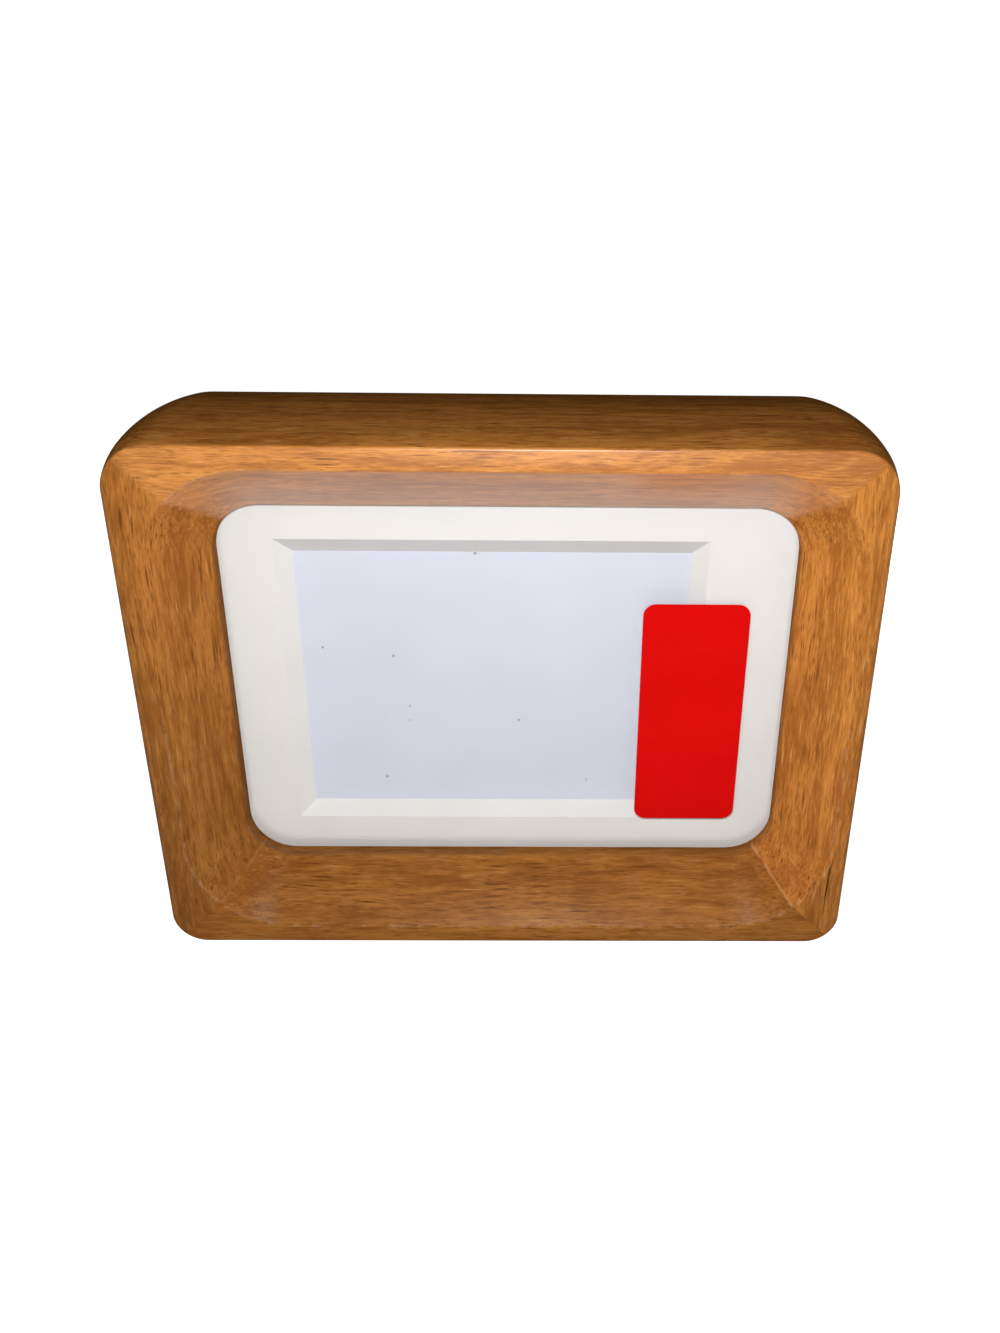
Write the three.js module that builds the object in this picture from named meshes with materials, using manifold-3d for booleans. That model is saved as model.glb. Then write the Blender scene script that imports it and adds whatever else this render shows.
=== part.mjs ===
// Free-standing wooden picture frame: four mitred rails round a glazed and matted opening, closed at the
// back by a board that turn buttons hold. Millimetres, +Z up. The picture faces -Y, and the origin lies on
// the ground under the middle of the whole part.

import * as THREE from "three";
import { mergeVertices } from "three/addons/utils/BufferGeometryUtils.js";
import Module from "manifold-3d";

// Wooden rails. The width and height are those of the front, and the top and sides swell out behind it.
const FRAME_WIDTH = 150;
const FRAME_HEIGHT = 118;
const FRAME_DEPTH = 34;
const SIDE_SWELL = 1.8;
const FRONT_CORNER_RADIUS = 9;
const BACK_CORNER_RADIUS = 15;
const FRONT_EDGE_RADIUS = 1.5;
const BACK_EDGE_RADIUS = 1;

// Dish and rabbet, cut in the glued rails. The opening sits a little to one side.
const SIDE_RAIL_WIDTH = 15.7;
const LEVEL_RAIL_WIDTH = 16.4;
const OPENING_SHIFT = 0.8;
const DISH_DEPTH = 12;
const SLOPE_WIDTH = 11.5;
const SIGHT_CORNER_RADIUS = 10;
const LIP_THICKNESS = 2.5;
const RABBET_WIDTH = 5.5;
const MITRE_GAP = 0.1;

// Corner nails, pressed across each mitre from the back
const NAIL_MARGIN = 3;
const NAIL_WING = 5;
const NAIL_THICKNESS = 0.6;
const NAIL_LENGTH = 9;
const NAIL_SINK = 0.3;
const NAIL_CLEARANCE = 0.1;

// Sheets stacked in the rabbet, from front to back
const SHEET_EDGE_CLEARANCE = 0.3;
const SHEET_GAP = 0.02;
const FILM_THICKNESS = 0.15;
const GLAZING_THICKNESS = 1;
const MAT_THICKNESS = 2.8;
const INSERT_THICKNESS = 0.3;
const BACKING_THICKNESS = 3;
const FILLER_NAMES = ["filler_card_front", "filler_card_middle", "filler_card_rear"];

// Window of the mat at its back face, which widens to the front by its bevel
const WINDOW_WIDTH = 81.7;
const WINDOW_HEIGHT = 61.6;
const WINDOW_BEVEL = 3.3;
const WINDOW_SHIFT_X = -3.8;
const WINDOW_SHIFT_Z = -0.6;

// Peel tab on the front of the film, and its distance from the film's right and lower edges
const TAB_WIDTH = 21.8;
const TAB_HEIGHT = 54.4;
const TAB_CORNER_RADIUS = 3.5;
const TAB_THICKNESS = 0.15;
const TAB_SIDE_MARGIN = 14.2;
const TAB_FOOT_MARGIN = 13.5;

// Half-round finger notch in the top edge of the backing board
const NOTCH_RADIUS = 8;

// Turn buttons on the back of the top and bottom rails
const BUTTON_SPACING = 76;
const BUTTON_WIDTH = 8;
const BUTTON_REACH = 12;
const BUTTON_THICKNESS = 1;
const BUTTON_INSET = 4.6;
const BUTTON_CLEARANCE = 0.15;

// Pan-head screw that each turn button swivels on
const SCREW_SHANK_RADIUS = 1.5;
const SCREW_LENGTH = 10;
const SCREW_POINT = 2.5;
const SCREW_HEAD_RADIUS = 3;
const SCREW_HEAD_HEIGHT = 1.8;
const SCREW_HEAD_RIM = 0.7;
const SCREW_CLEARANCE = 0.2;
const RECESS_LENGTH = 3.4;
const RECESS_WIDTH = 0.8;
const RECESS_DEPTH = 0.9;

// Fineness of the curves, and how far a cutter runs past what it cuts
const CORNER_STEPS = 8;
const EDGE_STEPS = 4;
const SWELL_STEPS = 10;
const ROUND_STEPS = 20;
const CUT_MARGIN = 1;
const MERGE_DISTANCE = 1e-4;

// Sizes that follow from the ones above. Depths are counted from the front of the rails.
const SIGHT_WIDTH = FRAME_WIDTH - 2 * SIDE_RAIL_WIDTH;
const SIGHT_HEIGHT = FRAME_HEIGHT - 2 * LEVEL_RAIL_WIDTH;
const RABBET_FRONT = DISH_DEPTH + LIP_THICKNESS;
const RABBET_OPENING_WIDTH = SIGHT_WIDTH + 2 * RABBET_WIDTH;
const RABBET_OPENING_HEIGHT = SIGHT_HEIGHT + 2 * RABBET_WIDTH;
const SHEET_WIDTH = RABBET_OPENING_WIDTH - 2 * SHEET_EDGE_CLEARANCE;
const SHEET_HEIGHT = RABBET_OPENING_HEIGHT - 2 * SHEET_EDGE_CLEARANCE;
const FILM_FRONT = RABBET_FRONT + SHEET_GAP;
const GLAZING_FRONT = FILM_FRONT + FILM_THICKNESS + SHEET_GAP;
const MAT_FRONT = GLAZING_FRONT + GLAZING_THICKNESS + SHEET_GAP;
const INSERT_FRONT = MAT_FRONT + MAT_THICKNESS + SHEET_GAP;
const FILLER_FRONT = INSERT_FRONT + INSERT_THICKNESS + SHEET_GAP;
const BACKING_FRONT = FRAME_DEPTH - BACKING_THICKNESS;
const FILLER_PITCH = (BACKING_FRONT - FILLER_FRONT) / FILLER_NAMES.length;
const THIN_WALL = SIDE_RAIL_WIDTH - RABBET_WIDTH - OPENING_SHIFT;
const NAIL_INSET = THIN_WALL - NAIL_MARGIN;
const NAIL_BACK = FRAME_DEPTH - NAIL_SINK;
const PIVOT_HEIGHT = RABBET_OPENING_HEIGHT / 2 + BUTTON_INSET;
const BUTTON_FRONT = FRAME_DEPTH + BUTTON_CLEARANCE;
const HEAD_FRONT = BUTTON_FRONT + BUTTON_THICKNESS + BUTTON_CLEARANCE;
const TOTAL_DEPTH = HEAD_FRONT + SCREW_HEAD_HEIGHT;

const wasm = await Module();
wasm.setup();

// A closed geometry as a solid that can be cut and joined.
function solidOf(geometry) {
  const bare = geometry.clone();
  bare.deleteAttribute("normal");
  bare.deleteAttribute("uv");
  const merged = mergeVertices(bare, MERGE_DISTANCE);
  const mesh = new wasm.Mesh({
    numProp: 3,
    vertProperties: merged.attributes.position.array,
    triVerts: new Uint32Array(merged.index.array),
  });
  return new wasm.Manifold(mesh);
}

// A solid as a geometry for a mesh.
function geometryOf(solid) {
  const mesh = solid.getMesh();
  const geometry = new THREE.BufferGeometry();
  geometry.setAttribute("position", new THREE.BufferAttribute(mesh.vertProperties, 3));
  geometry.setIndex(new THREE.BufferAttribute(mesh.triVerts, 1));
  geometry.computeVertexNormals();
  return geometry;
}

// A shape drawn in X and Z, as a slab from one depth to another.
function slab(shape, front, back, bevel = { bevelEnabled: false }) {
  const settings = { depth: back - front, curveSegments: CORNER_STEPS, ...bevel };
  const geometry = new THREE.ExtrudeGeometry(shape, settings);
  geometry.rotateX(Math.PI / 2);
  geometry.translate(0, back, 0);
  return geometry;
}

function polygon(points) {
  return new THREE.Shape(points.map(([x, z]) => new THREE.Vector2(x, z)));
}

function rectangle(width, height, x = 0, z = 0) {
  return polygon([
    [x - width / 2, z - height / 2],
    [x + width / 2, z - height / 2],
    [x + width / 2, z + height / 2],
    [x - width / 2, z + height / 2],
  ]);
}

function roundedRectangle(width, height, radius, x = 0, z = 0) {
  const dx = width / 2 - radius;
  const dz = height / 2 - radius;
  const shape = new THREE.Shape();
  shape.absarc(x + dx, z + dz, radius, 0, Math.PI / 2);
  shape.absarc(x - dx, z + dz, radius, Math.PI / 2, Math.PI);
  shape.absarc(x - dx, z - dz, radius, Math.PI, 1.5 * Math.PI);
  shape.absarc(x + dx, z - dz, radius, 1.5 * Math.PI, 2 * Math.PI);
  return shape;
}

// The block's outline at one depth, drawn in by an inset where an edge is rounded over. The top and sides
// swell between front and back, the corners grow rounder towards the back, and the underside stays flat.
function blockOutline(depth, inset) {
  const share = depth / FRAME_DEPTH;
  const swell = 4 * SIDE_SWELL * share * (1 - share);
  const growth = swell - inset;
  const width = FRAME_WIDTH + 2 * growth;
  const height = FRAME_HEIGHT + growth - inset;
  const radius = THREE.MathUtils.lerp(FRONT_CORNER_RADIUS, BACK_CORNER_RADIUS, share) + growth;
  const outline = roundedRectangle(width, height, radius, 0, swell / 2);
  return outline.getPoints(CORNER_STEPS).map((point) => new THREE.Vector3(point.x, depth, point.y));
}

// Outlines of as many points each, skinned from front to back and closed at both ends.
function skin(outlines) {
  const count = outlines[0].length;
  const faces = [];
  for (let ring = 0; ring + 1 < outlines.length; ring += 1) {
    for (let place = 0; place < count; place += 1) {
      const here = ring * count + place;
      const next = ring * count + ((place + 1) % count);
      faces.push(here, here + count, next, next, here + count, next + count);
    }
  }
  const flat = outlines[0].map((point) => new THREE.Vector2(point.x, point.z));
  const lastRing = (outlines.length - 1) * count;
  for (const [a, b, c] of THREE.ShapeUtils.triangulateShape(flat, [])) {
    faces.push(a, b, c, lastRing + a, lastRing + c, lastRing + b);
  }
  const geometry = new THREE.BufferGeometry().setFromPoints(outlines.flat());
  geometry.setIndex(faces);
  return geometry;
}

// The block that the rails make once glued, with its front and back edges rounded over.
function gluedBlock() {
  const swellFront = FRONT_EDGE_RADIUS;
  const swellBack = FRAME_DEPTH - BACK_EDGE_RADIUS;
  const outlines = [];
  for (let step = 0; step < EDGE_STEPS; step += 1) {
    const angle = ((Math.PI / 2) * step) / EDGE_STEPS;
    const depth = FRONT_EDGE_RADIUS * (1 - Math.cos(angle));
    outlines.push(blockOutline(depth, FRONT_EDGE_RADIUS * (1 - Math.sin(angle))));
  }
  for (let step = 0; step <= SWELL_STEPS; step += 1) {
    outlines.push(blockOutline(THREE.MathUtils.lerp(swellFront, swellBack, step / SWELL_STEPS), 0));
  }
  for (let step = EDGE_STEPS - 1; step >= 0; step -= 1) {
    const angle = ((Math.PI / 2) * step) / EDGE_STEPS;
    const depth = FRAME_DEPTH - BACK_EDGE_RADIUS * (1 - Math.cos(angle));
    outlines.push(blockOutline(depth, BACK_EDGE_RADIUS * (1 - Math.sin(angle))));
  }
  return skin(outlines);
}

// The glued-up frame in one piece, dished at the front and rabbeted at the back.
function gluedFrame() {
  const sight = roundedRectangle(SIGHT_WIDTH, SIGHT_HEIGHT, SIGHT_CORNER_RADIUS, OPENING_SHIFT);
  const slope = {
    bevelEnabled: true,
    bevelThickness: DISH_DEPTH,
    bevelSize: SLOPE_WIDTH,
    bevelSegments: 1,
  };
  const dish = slab(sight, -CUT_MARGIN, 0, slope);
  const opening = slab(sight, 0, RABBET_FRONT + CUT_MARGIN);
  const rabbetOutline = rectangle(RABBET_OPENING_WIDTH, RABBET_OPENING_HEIGHT, OPENING_SHIFT);
  const rabbet = slab(rabbetOutline, RABBET_FRONT, FRAME_DEPTH + CUT_MARGIN);
  const cutters = [dish, opening, rabbet].map(solidOf);
  return cutters.reduce((block, cutter) => block.subtract(cutter), solidOf(gluedBlock()));
}

// The wedge between two mitres that one rail is cut from. The direction is the side of the frame it is on.
function railWedge(directionX, directionZ) {
  const inner = Math.max(SIDE_RAIL_WIDTH, LEVEL_RAIL_WIDTH) + OPENING_SHIFT + SIGHT_CORNER_RADIUS;
  const outer = SIDE_SWELL + CUT_MARGIN;
  const setback = MITRE_GAP / Math.SQRT2;
  const corners = [
    [-1, -outer],
    [1, -outer],
    [1, inner],
    [-1, inner],
  ];
  const points = corners.map(([end, depth]) => {
    const x = FRAME_WIDTH / 2 - depth;
    const z = FRAME_HEIGHT / 2 - depth;
    return directionX === 0 ? [end * (x - setback), directionZ * z] : [directionX * x, end * (z - setback)];
  });
  return slab(polygon(points), -CUT_MARGIN, FRAME_DEPTH + CUT_MARGIN);
}

// The V of a corner nail seen from the back, grown all round by a margin. Its wings run along both rails.
function nailOutline(sideX, sideZ, margin) {
  const near = -margin;
  const thick = NAIL_THICKNESS + margin;
  const far = NAIL_WING + margin;
  const outline = [
    [near, near],
    [far, near],
    [far, thick],
    [thick, thick],
    [thick, far],
    [near, far],
  ];
  const points = outline.map(([alongX, alongZ]) => [
    sideX * (FRAME_WIDTH / 2 - NAIL_INSET - alongX),
    sideZ * (FRAME_HEIGHT / 2 - NAIL_INSET - alongZ),
  ]);
  return polygon(points);
}

function nailSlot(sideX, sideZ) {
  const bottom = NAIL_BACK - NAIL_LENGTH - NAIL_CLEARANCE;
  return slab(nailOutline(sideX, sideZ, NAIL_CLEARANCE), bottom, FRAME_DEPTH + CUT_MARGIN);
}

function cornerNail(sideX, sideZ) {
  return slab(nailOutline(sideX, sideZ, 0), NAIL_BACK - NAIL_LENGTH, NAIL_BACK);
}

function screwHole(sideX, sideZ) {
  const radius = SCREW_SHANK_RADIUS + SCREW_CLEARANCE;
  const bottom = HEAD_FRONT - SCREW_LENGTH - SCREW_CLEARANCE;
  const top = FRAME_DEPTH + CUT_MARGIN;
  const hole = new THREE.CylinderGeometry(radius, radius, top - bottom, ROUND_STEPS);
  hole.translate((sideX * BUTTON_SPACING) / 2, (bottom + top) / 2, sideZ * PIVOT_HEIGHT);
  return hole;
}

function rail(wood, cutters, directionX, directionZ) {
  const blank = wood.intersect(solidOf(railWedge(directionX, directionZ)));
  return geometryOf(cutters.reduce((cut, cutter) => cut.subtract(cutter), blank));
}

// The mat, with a window that narrows towards the back. Its cutter runs on past the back at the same slope.
function matBoard() {
  const slope = WINDOW_BEVEL / MAT_THICKNESS;
  const past = slope * CUT_MARGIN;
  const width = WINDOW_WIDTH - 2 * past;
  const height = WINDOW_HEIGHT - 2 * past;
  const bevel = {
    bevelEnabled: true,
    bevelThickness: MAT_THICKNESS + CUT_MARGIN,
    bevelSize: WINDOW_BEVEL + past,
    bevelSegments: 1,
  };
  const window = rectangle(width, height, WINDOW_SHIFT_X, WINDOW_SHIFT_Z);
  const cutter = slab(window, MAT_FRONT - CUT_MARGIN, MAT_FRONT, bevel);
  const board = slab(rectangle(SHEET_WIDTH, SHEET_HEIGHT), MAT_FRONT, MAT_FRONT + MAT_THICKNESS);
  return geometryOf(solidOf(board).subtract(solidOf(cutter)));
}

function plainSheet(front, thickness) {
  return slab(rectangle(SHEET_WIDTH, SHEET_HEIGHT), front, front + thickness);
}

function peelTab() {
  const x = SHEET_WIDTH / 2 - TAB_SIDE_MARGIN - TAB_WIDTH / 2;
  const z = TAB_FOOT_MARGIN + TAB_HEIGHT / 2 - SHEET_HEIGHT / 2;
  const outline = roundedRectangle(TAB_WIDTH, TAB_HEIGHT, TAB_CORNER_RADIUS, x, z);
  const back = FILM_FRONT - SHEET_GAP;
  return slab(outline, back - TAB_THICKNESS, back);
}

function backingBoard() {
  const top = SHEET_HEIGHT / 2;
  const side = SHEET_WIDTH / 2;
  const outline = new THREE.Shape();
  outline.moveTo(-side, -top);
  outline.lineTo(side, -top);
  outline.lineTo(side, top);
  outline.absarc(0, top, NOTCH_RADIUS, 0, Math.PI, true);
  outline.lineTo(-side, top);
  return slab(outline, BACKING_FRONT, BACKING_FRONT + BACKING_THICKNESS);
}

// A turn button round its pivot, pointing from the rail over the board.
function turnButton(sideZ) {
  const radius = BUTTON_WIDTH / 2;
  const tip = -sideZ * BUTTON_REACH;
  const outline = new THREE.Shape();
  outline.absarc(0, Math.max(0, tip), radius, 0, Math.PI);
  outline.absarc(0, Math.min(0, tip), radius, Math.PI, 2 * Math.PI);
  const hole = new THREE.Path();
  hole.absarc(0, 0, SCREW_SHANK_RADIUS + SCREW_CLEARANCE, 0, 2 * Math.PI, true);
  outline.holes.push(hole);
  return slab(outline, BUTTON_FRONT, BUTTON_FRONT + BUTTON_THICKNESS);
}

// A pan-head screw with a cross recess, its head's underside at zero.
function buttonScrew() {
  const shoulder = SCREW_HEAD_HEIGHT - SCREW_HEAD_RIM;
  const edge = new THREE.EllipseCurve(
    SCREW_HEAD_RADIUS - shoulder, SCREW_HEAD_RIM, shoulder, shoulder, 0, Math.PI / 2,
  );
  const profile = [
    new THREE.Vector2(0, -SCREW_LENGTH),
    new THREE.Vector2(SCREW_SHANK_RADIUS, SCREW_POINT - SCREW_LENGTH),
    new THREE.Vector2(SCREW_SHANK_RADIUS, 0),
    new THREE.Vector2(SCREW_HEAD_RADIUS, 0),
    ...edge.getPoints(EDGE_STEPS),
    new THREE.Vector2(0, SCREW_HEAD_HEIGHT),
  ];
  let screw = solidOf(new THREE.LatheGeometry(profile, ROUND_STEPS));
  const barHeight = RECESS_DEPTH + CUT_MARGIN;
  for (const [x, z] of [[RECESS_LENGTH, RECESS_WIDTH], [RECESS_WIDTH, RECESS_LENGTH]]) {
    const bar = new THREE.BoxGeometry(x, barHeight, z);
    bar.translate(0, SCREW_HEAD_HEIGHT - RECESS_DEPTH + barHeight / 2, 0);
    screw = screw.subtract(solidOf(bar));
  }
  return geometryOf(screw);
}

const finish = (color, roughness, metalness = 0) =>
  new THREE.MeshStandardMaterial({ color, roughness, metalness });
const wood = finish(0xa8692f, 0.42);
const steel = finish(0x9a9b9e, 0.35, 1);
const zinc = finish(0xb9b6ab, 0.4, 1);
const matWhite = finish(0xf0ece6, 0.85);
const cardWhite = finish(0xe3e5ee, 0.8);
const corrugated = finish(0xb58d5c, 0.9);
const hardboard = finish(0x7a5637, 0.75);
const tabRed = finish(0xd81408, 0.4);
const clear = finish(0xf2f6f7, 0.08);
clear.transparent = true;
clear.opacity = 0.2;

function piece(name, geometry, material) {
  const mesh = new THREE.Mesh(geometry, material);
  mesh.name = name;
  return mesh;
}

const assembly = new THREE.Group();
assembly.position.set(0, -TOTAL_DEPTH / 2, FRAME_HEIGHT / 2);

const corners = [
  ["top_left", -1, 1],
  ["top_right", 1, 1],
  ["bottom_left", -1, -1],
  ["bottom_right", 1, -1],
];
const sides = [
  ["top_rail", 0, 1],
  ["bottom_rail", 0, -1],
  ["left_rail", -1, 0],
  ["right_rail", 1, 0],
];

const glued = gluedFrame();
const railCutters = corners.flatMap(([, sideX, sideZ]) => [
  solidOf(nailSlot(sideX, sideZ)),
  solidOf(screwHole(sideX, sideZ)),
]);
for (const [name, directionX, directionZ] of sides) {
  assembly.add(piece(name, rail(glued, railCutters, directionX, directionZ), wood));
}
for (const [corner, sideX, sideZ] of corners) {
  assembly.add(piece(`corner_nail_${corner}`, cornerNail(sideX, sideZ), steel));
}

const stack = new THREE.Group();
stack.position.x = OPENING_SHIFT;
assembly.add(stack);
stack.add(piece("peel_tab", peelTab(), tabRed));
stack.add(piece("protective_film", plainSheet(FILM_FRONT, FILM_THICKNESS), clear));
stack.add(piece("glazing_sheet", plainSheet(GLAZING_FRONT, GLAZING_THICKNESS), clear));
stack.add(piece("mat_board", matBoard(), matWhite));
stack.add(piece("insert_card", plainSheet(INSERT_FRONT, INSERT_THICKNESS), cardWhite));
FILLER_NAMES.forEach((name, place) => {
  const front = FILLER_FRONT + place * FILLER_PITCH;
  stack.add(piece(name, plainSheet(front, FILLER_PITCH - SHEET_GAP), corrugated));
});
stack.add(piece("backing_board", backingBoard(), hardboard));

for (const [corner, sideX, sideZ] of corners) {
  const pivot = new THREE.Group();
  pivot.position.set((sideX * BUTTON_SPACING) / 2, 0, sideZ * PIVOT_HEIGHT);
  assembly.add(pivot);
  pivot.add(piece(`turn_button_${corner}`, turnButton(sideZ), zinc));
  const screw = piece(`button_screw_${corner}`, buttonScrew(), steel);
  screw.position.y = HEAD_FRONT;
  pivot.add(screw);
}

const part = new THREE.Group();
part.add(assembly);

export default part;
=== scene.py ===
"""The looks of a free-standing wooden picture frame, in metres, +Z up, with the picture facing -Y."""
from math import cos, pi, radians, sin

import bmesh
import bpy
from mathutils import Matrix, Vector


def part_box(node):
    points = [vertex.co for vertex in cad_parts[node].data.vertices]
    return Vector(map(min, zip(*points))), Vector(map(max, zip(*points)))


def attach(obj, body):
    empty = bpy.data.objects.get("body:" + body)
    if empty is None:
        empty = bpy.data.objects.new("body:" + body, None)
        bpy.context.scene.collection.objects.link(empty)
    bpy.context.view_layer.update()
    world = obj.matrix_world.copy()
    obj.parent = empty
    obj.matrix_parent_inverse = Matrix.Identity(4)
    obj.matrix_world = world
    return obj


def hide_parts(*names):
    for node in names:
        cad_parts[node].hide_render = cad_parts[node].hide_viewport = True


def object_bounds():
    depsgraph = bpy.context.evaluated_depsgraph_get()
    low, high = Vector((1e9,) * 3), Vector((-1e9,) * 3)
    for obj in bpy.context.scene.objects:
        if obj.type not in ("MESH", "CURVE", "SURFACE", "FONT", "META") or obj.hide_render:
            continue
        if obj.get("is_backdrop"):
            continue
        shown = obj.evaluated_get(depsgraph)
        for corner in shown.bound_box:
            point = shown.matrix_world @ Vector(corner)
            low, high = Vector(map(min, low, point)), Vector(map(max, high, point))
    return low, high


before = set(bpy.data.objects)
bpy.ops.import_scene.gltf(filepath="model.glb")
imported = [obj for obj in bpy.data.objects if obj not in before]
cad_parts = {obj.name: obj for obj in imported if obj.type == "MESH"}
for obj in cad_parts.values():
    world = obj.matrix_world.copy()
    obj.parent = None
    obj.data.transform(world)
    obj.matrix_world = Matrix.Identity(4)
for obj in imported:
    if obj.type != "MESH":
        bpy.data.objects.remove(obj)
cad_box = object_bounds()

MM = 0.001

# Wooden rails, in millimetres: the width and height are those of the front, and the rest swells out behind it
SIDE_SWELL = 1.8
FRONT_CORNER_RADIUS = 9
LOW_CORNER_RADIUS = 7
BACK_CORNER_RADIUS = 15
FRONT_PILLOW_WIDTH = 3.7
FRONT_PILLOW_DEPTH = 0.65
FRONT_PILLOW_POWER = 1.2
FRONT_EDGE_EASE = 0.35
TOP_ROLL = 0.7
TOP_ROLL_DEPTH = 8
BACK_EDGE_RADIUS = 1
DISH_DEPTH = 12
SLOPE_WIDTH = 11.5
SIGHT_CORNER_RADIUS = 10
LIP_THICKNESS = 2.5
RABBET_WIDTH = 5.5
RABBET_CORNER_RADIUS = 0.4
RIM_EASE = 0.45
SIGHT_EASE = 0.3
GLUE_LINE = 0.02

# Sheets, window and hardware, in millimetres
SHEET_EDGE_CLEARANCE = 0.3
WINDOW_WIDTH = 82.7
WINDOW_HEIGHT = 61.9
WINDOW_SIDE_BEVEL = 3.3
WINDOW_TOP_BEVEL = 3.75
WINDOW_LOW_BEVEL = 3
WINDOW_SHIFT_X = -3.45
WINDOW_SHIFT_Z = -0.75
SHEET_ARRIS = 0.12
CARD_ARRIS = 0.04
TAB_CORNER_RADIUS = 2.7
TAB_GROWTH = 0.4
TAB_EDGE = 0.05
FLUTE_PITCH = 5
LINER_THICKNESS = 0.35
FLUTE_INSET = 1.6 * LINER_THICKNESS
NOTCH_RADIUS = 8
BOARD_ARRIS = 0.3
NAIL_THICKNESS = 0.6
NAIL_CLEARANCE = 0.1
NAIL_ARRIS = 0.08
BUTTON_EDGE = 0.25
BUTTON_RIB_HEIGHT = 0.5
BUTTON_RIB_MARGIN = 1.5
BUTTON_RIB_START = 4
BUTTON_HOLE_RADIUS = 1.7
SCREW_SHANK_RADIUS = 1.5
SCREW_POINT = 2.5
SCREW_POINT_ROOM = 0.425
SCREW_HEAD_RADIUS = 3
SCREW_HEAD_HEIGHT = 1.8
SCREW_HEAD_RIM = 0.7
RECESS_LENGTH = 3.4
RECESS_WIDTH = 0.8
RECESS_DEPTH = 0.9
CUT_MARGIN = 1
BRIDGE_REACH = 50
SMALLEST = 0.001

# Fineness of the curves, and the angles from which an edge is shown sharp or eased
CORNER_SEGMENTS = 24
EDGE_STEPS = 9
PILLOW_STEPS = 8
SWELL_STEPS = 24
EASE_STEPS = 3
ROUND_STEPS = 48
NOTCH_STEPS = 96
FLUTE_STEPS = 12
SHARP_ANGLE = radians(34)
EASED_ANGLE = radians(60)


def solid_box(node):
    """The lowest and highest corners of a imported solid, in millimetres."""
    low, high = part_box(node)
    return low / MM, high / MM


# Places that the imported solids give, in millimetres
RAIL_FRONT = solid_box("top_rail")[0].y
FRAME_DEPTH = solid_box("top_rail")[1].y - RAIL_FRONT
FRAME_WIDTH = solid_box("right_rail")[1].x - solid_box("left_rail")[0].x - 2 * SIDE_SWELL
FRAME_HEIGHT = solid_box("top_rail")[1].z - solid_box("bottom_rail")[0].z - SIDE_SWELL
CENTRE_Z = FRAME_HEIGHT / 2
SHEET_LOW, SHEET_HIGH = solid_box("glazing_sheet")
OPENING_X = (SHEET_LOW.x + SHEET_HIGH.x) / 2
RABBET_OPENING_WIDTH = SHEET_HIGH.x - SHEET_LOW.x + 2 * SHEET_EDGE_CLEARANCE
RABBET_OPENING_HEIGHT = SHEET_HIGH.z - SHEET_LOW.z + 2 * SHEET_EDGE_CLEARANCE
SIGHT_WIDTH = RABBET_OPENING_WIDTH - 2 * RABBET_WIDTH
SIGHT_HEIGHT = RABBET_OPENING_HEIGHT - 2 * RABBET_WIDTH
RABBET_FRONT = DISH_DEPTH + LIP_THICKNESS

# Camera, in millimetres from the middle of the rails' front, with its focal length and axis in pixels
PICTURE_WIDTH = 1000
PICTURE_HEIGHT = 1333
FOCAL_PIXELS = 1270.73
AXIS_PIXEL_X = 559.83
SENSOR_SIZE = 36
CAMERA_PLACE = Vector((7.74, -224.36, 135.9))
CAMERA_YAW = radians(0.91)
CAMERA_PITCH = radians(28.69)
CAMERA_ROLL = radians(-0.73)
CAMERA_NEAR = 10

# Lamps, floor and room, in metres and watts: the key lamp is at the camera, the side lamp has a twin at left
KEY_POWER = 0.645
KEY_SIZE = (0.014, 0.014)
BACK_POWER = 0.5
BACK_SIZE = (0.5, 0.05)
BACK_PLACE = Vector((0.05, 0.32, 0.065))
SIDE_POWER = 0.2
SIDE_SIZE = (0.06, 0.2)
SIDE_PLACE = Vector((0.42, 0.03, 0.05))
TO_THE_LEFT = Vector((-1, 1, 1))
WHITE = (1, 1, 1, 1)
WORLD_COLOR = (0.85, 0.88, 0.92, 1)
WORLD_STRENGTH = 0.035
FLOOR_SIZE = 30
FLOOR_COLOR = (0.5, 0.5, 0.49, 1)
FLOOR_GLOW = 0.97

# Grain of the wood: its colours, and how often each part of its figure repeats per metre, along and across
WOOD_LIGHT = (0.74, 0.29, 0.058, 1)
WOOD_DARK = (0.43, 0.142, 0.024, 1)
WOOD_PORE = (0.16, 0.044, 0.008, 1)
WOOD_FLECK = (0.88, 0.43, 0.14, 1)
SWAY_SCALE = (25, 90)
SWAY_REACH = 0.003
BAND_SCALE = (9, 190)
STREAK_SCALE = (75, 700)
FIBRE_SCALE = (260, 2600)
PATCH_SCALE = (45, 150)
LONG_PORE_SCALE = (95, 1250)
SHORT_PORE_SCALE = (300, 2300)
FLECK_SCALE = (130, 1900)
UPRIGHT_TIMBER = (0.57, 0.3, 0.1)

# Finish of the rails, with painted shade and a painted sheen: colours, amounts and tones, in pairs from low
# to high or from left to right
# Painted shade: the outer faces, the bottom rail, the uprights' feet and the left upright are darker
OUTER_PAINTED_SHADE = 0.69
LEVEL_PAINTED_SHADES = (0.58, 0.98)
LEFT_PAINTED_SHADES = (0.52, 0.74)
RIGHT_PAINTED_SHADES = (0.74, 0.95)
STAIN_COLOR = (0.36, 0.11, 0.02, 1)
STAIN_AMOUNT = 0.5
STAIN_SHARES = (1.0, 0.4)
# Painted sheen: a pale haze in the middle of the top rail's dish, standing in for a reflection
PAINTED_SHEEN_COLOR = (0.6, 0.5, 0.43, 1)
PAINTED_SHEEN_AMOUNT = 0.19
WORN_COLOR = (0.66, 0.42, 0.26, 1)
WORN_AMOUNT = 0.22
SHADE_COLOR = (0.1, 0.06, 0.035, 1)
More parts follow.
